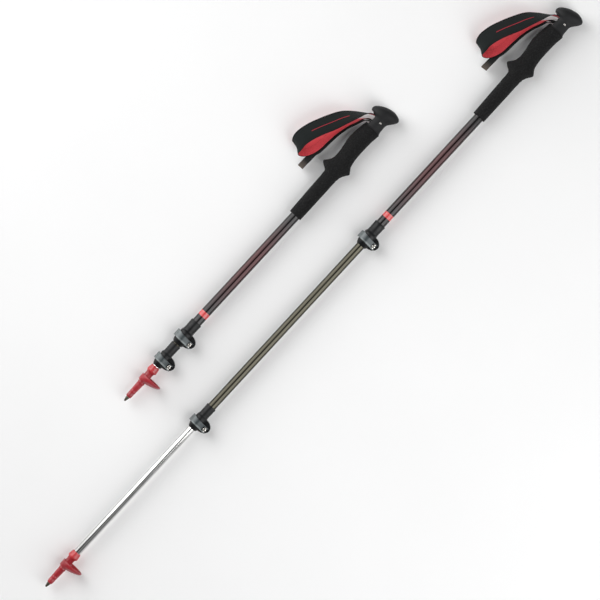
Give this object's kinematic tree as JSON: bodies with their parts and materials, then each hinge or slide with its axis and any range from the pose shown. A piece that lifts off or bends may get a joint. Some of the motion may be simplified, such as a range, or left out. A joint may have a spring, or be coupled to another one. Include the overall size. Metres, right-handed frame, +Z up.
{
  "type": "trekking poles",
  "caption": "Pair of three-section telescoping trekking poles with external lever clamps, foam grips and padded wrist straps, one drawn out and one pushed together.",
  "frame": {"origin": "on the surface the poles lie on, under the middle of the pair's bounding box", "axes": "+X along the poles from tip to grip, +Y towards the wrist straps, +Z up from the surface"},
  "size_m": [1.35, 0.246, 0.0365],
  "materials": {
    "red_plastic": "moulded nylon, satin",
    "carbide": "sintered carbide, dark grey",
    "bare_aluminium": "polished clear anodised",
    "graphite_aluminium": "polished graphite anodised",
    "black_aluminium": "gloss black anodised with a dark red fade and a red ring",
    "black_plastic": "moulded nylon, satin",
    "grey_lever": "satin grey anodised",
    "steel": "bright zinc plated",
    "grip_foam": "closed-cell foam, matte",
    "head_rubber": "moulded soft-touch rubber",
    "strap_fabric": "woven nylon face with red brushed lining",
    "webbing": "woven nylon webbing"
  },
  "bodies": {
    "right_upper_section": {"right_upper_shaft": "black_aluminium", "right_foam_grip": "grip_foam", "right_grip_head": "head_rubber", "right_strap_pin": "steel", "right_strap_wedge": "black_plastic", "right_strap_loop": "strap_fabric", "right_strap_tail": "webbing", "right_upper_clamp_collar": "black_plastic", "right_upper_clamp_barrel": "steel", "right_upper_clamp_nut": "steel"},
    "right_upper_lever": {"right_upper_clamp_lever": "grey_lever"},
    "right_upper_tension_screw": {"right_upper_clamp_screw": "steel"},
    "right_middle_section": {"right_middle_shaft": "graphite_aluminium", "right_middle_guide_plug": "black_plastic", "right_lower_clamp_collar": "black_plastic", "right_lower_clamp_barrel": "steel", "right_lower_clamp_nut": "steel"},
    "right_lower_lever": {"right_lower_clamp_lever": "grey_lever"},
    "right_lower_tension_screw": {"right_lower_clamp_screw": "steel"},
    "right_lower_section": {"right_lower_shaft": "bare_aluminium", "right_lower_guide_plug": "black_plastic", "right_tip_ferrule": "red_plastic", "right_carbide_tip": "carbide", "right_basket": "red_plastic"},
    "left_upper_section": {"left_upper_shaft": "black_aluminium", "left_foam_grip": "grip_foam", "left_grip_head": "head_rubber", "left_strap_pin": "steel", "left_strap_wedge": "black_plastic", "left_strap_loop": "strap_fabric", "left_strap_tail": "webbing", "left_upper_clamp_collar": "black_plastic", "left_upper_clamp_barrel": "steel", "left_upper_clamp_nut": "steel"},
    "left_upper_lever": {"left_upper_clamp_lever": "grey_lever"},
    "left_upper_tension_screw": {"left_upper_clamp_screw": "steel"},
    "left_middle_section": {"left_middle_shaft": "graphite_aluminium", "left_middle_guide_plug": "black_plastic", "left_lower_clamp_collar": "black_plastic", "left_lower_clamp_barrel": "steel", "left_lower_clamp_nut": "steel"},
    "left_lower_lever": {"left_lower_clamp_lever": "grey_lever"},
    "left_lower_tension_screw": {"left_lower_clamp_screw": "steel"},
    "left_lower_section": {"left_lower_shaft": "bare_aluminium", "left_lower_guide_plug": "black_plastic", "left_tip_ferrule": "red_plastic", "left_carbide_tip": "carbide", "left_basket": "red_plastic"}
  },
  "joints": [
    {"name": "right_middle_slide", "type": "slide", "parent": "right_upper_section", "child": "right_middle_section", "axis": [1, 0, 0], "range_m": [0, 0.3775]},
    {"name": "right_lower_slide", "type": "slide", "parent": "right_middle_section", "child": "right_lower_section", "axis": [1, 0, 0], "range_m": [0, 0.2905]},
    {"name": "right_upper_lever_pivot", "type": "hinge", "parent": "right_upper_section", "child": "right_upper_lever", "pos_m": [0.14, -0.10895, 0.025], "axis": [1, 0, 0], "range_deg": [0, 120]},
    {"name": "right_upper_screw_turn", "type": "hinge", "parent": "right_upper_section", "child": "right_upper_tension_screw", "pos_m": [0.14, -0.10895, 0.018], "axis": [0, 0, 1], "range_deg": [-360, 360]},
    {"name": "right_lower_lever_pivot", "type": "hinge", "parent": "right_middle_section", "child": "right_lower_lever", "pos_m": [-0.2895, -0.10895, 0.025], "axis": [1, 0, 0], "range_deg": [0, 120]},
    {"name": "right_lower_screw_turn", "type": "hinge", "parent": "right_middle_section", "child": "right_lower_tension_screw", "pos_m": [-0.2895, -0.10895, 0.018], "axis": [0, 0, 1], "range_deg": [-360, 360]},
    {"name": "left_middle_slide", "type": "slide", "parent": "left_upper_section", "child": "left_middle_section", "axis": [1, 0, 0], "range_m": [-0.3775, 0]},
    {"name": "left_lower_slide", "type": "slide", "parent": "left_middle_section", "child": "left_lower_section", "axis": [1, 0, 0], "range_m": [-0.2905, 0]},
    {"name": "left_upper_lever_pivot", "type": "hinge", "parent": "left_upper_section", "child": "left_upper_lever", "pos_m": [-0.2, 0.00885, 0.025], "axis": [1, 0, 0], "range_deg": [0, 120]},
    {"name": "left_upper_screw_turn", "type": "hinge", "parent": "left_upper_section", "child": "left_upper_tension_screw", "pos_m": [-0.2, 0.00885, 0.018], "axis": [0, 0, 1], "range_deg": [-360, 360]},
    {"name": "left_lower_lever_pivot", "type": "hinge", "parent": "left_middle_section", "child": "left_lower_lever", "pos_m": [-0.252, 0.00885, 0.025], "axis": [1, 0, 0], "range_deg": [0, 120]},
    {"name": "left_lower_screw_turn", "type": "hinge", "parent": "left_middle_section", "child": "left_lower_tension_screw", "pos_m": [-0.252, 0.00885, 0.018], "axis": [0, 0, 1], "range_deg": [-360, 360]},
    {"name": "left_pole_lift", "type": "slide", "parent": "right_upper_section", "child": "left_upper_section", "axis": [0, 0, 1], "range_m": [0, 0.15]}
  ]
}
